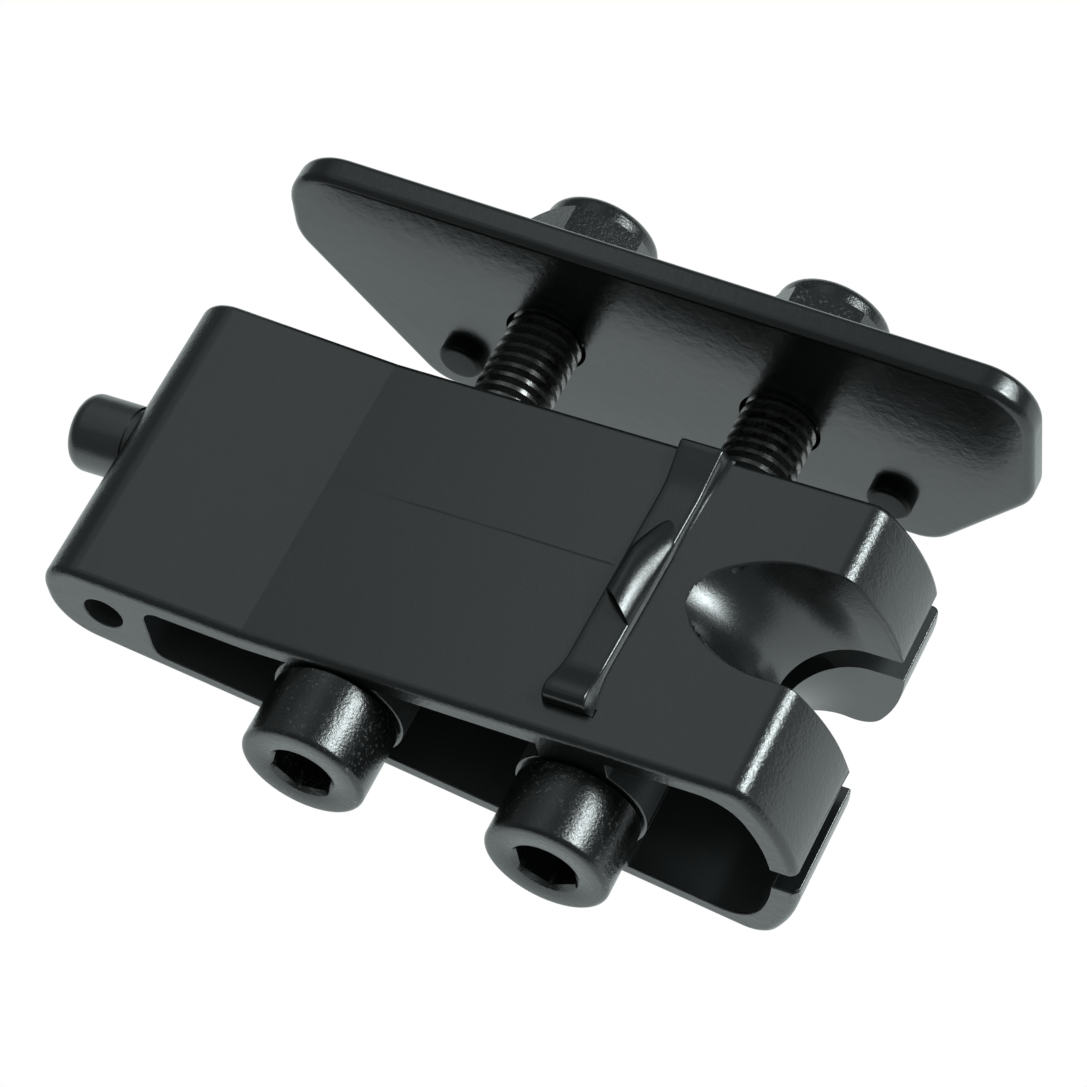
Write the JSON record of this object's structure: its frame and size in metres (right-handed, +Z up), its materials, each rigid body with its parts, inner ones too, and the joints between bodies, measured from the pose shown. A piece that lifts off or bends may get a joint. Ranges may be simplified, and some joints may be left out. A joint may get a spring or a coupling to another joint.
{
  "type": "bike lock bracket",
  "caption": "Black cast wedge bracket with a bent lock trough, nose pin and catch strip, clamped to a bicycle frame by a sliding plate, socket screws and lock nuts.",
  "frame": {"origin": "half way between the two screws, in the casting's back face, where the frame is clamped", "axes": "+X along the flat top from the nose pin to the open trough, +Y along the screws towards the clamp plate, +Z up out of the flat top"},
  "size_m": [0.0909, 0.0699, 0.0342],
  "materials": {
    "casting": "black powder coat over die casting",
    "strip": "black oxide spring steel, folded",
    "pin": "black painted steel pin",
    "set_screw": "black oxide steel",
    "plate": "black powder coat over steel",
    "stud": "matte black rubber",
    "bolt": "black oxide steel, lightly worn",
    "nut": "black oxide steel, lightly worn",
    "insert": "dark nylon"
  },
  "bodies": {
    "bracket": {"bracket_body": "casting", "catch_strip": "strip", "nose_pin": "pin", "pin_set_screw": "set_screw"},
    "bolt_left": {"clamp_bolt_left": "bolt"},
    "bolt_right": {"clamp_bolt_right": "bolt"},
    "clamp": {"clamp_plate": "plate", "grip_stud_left": "stud", "grip_stud_right": "stud", "lock_nut_left": "nut", "lock_nut_right": "nut", "nut_insert_left": "insert", "nut_insert_right": "insert"}
  },
  "joints": [
    {"name": "bolt_left_turn", "type": "hinge", "parent": "bracket", "child": "bolt_left", "pos_m": [-0.01272, 0, 0.00147], "axis": [0, 1, 0], "range_deg": [-720, 2880]},
    {"name": "bolt_right_turn", "type": "hinge", "parent": "bracket", "child": "bolt_right", "pos_m": [0.01272, 0, -0.00147], "axis": [0, 1, 0], "range_deg": [-720, 2880]},
    {"name": "clamp_slide", "type": "slide", "parent": "bracket", "child": "clamp", "axis": [0, -1, 0], "range_m": [-0.00251, 0.01001]}
  ],
  "couplings": [
    {"joint": "bolt_right_turn", "follows": "bolt_left_turn", "ratio": 1},
    {"joint": "clamp_slide", "follows": "bolt_left_turn", "m_per_rad": 0.00019894}
  ]
}
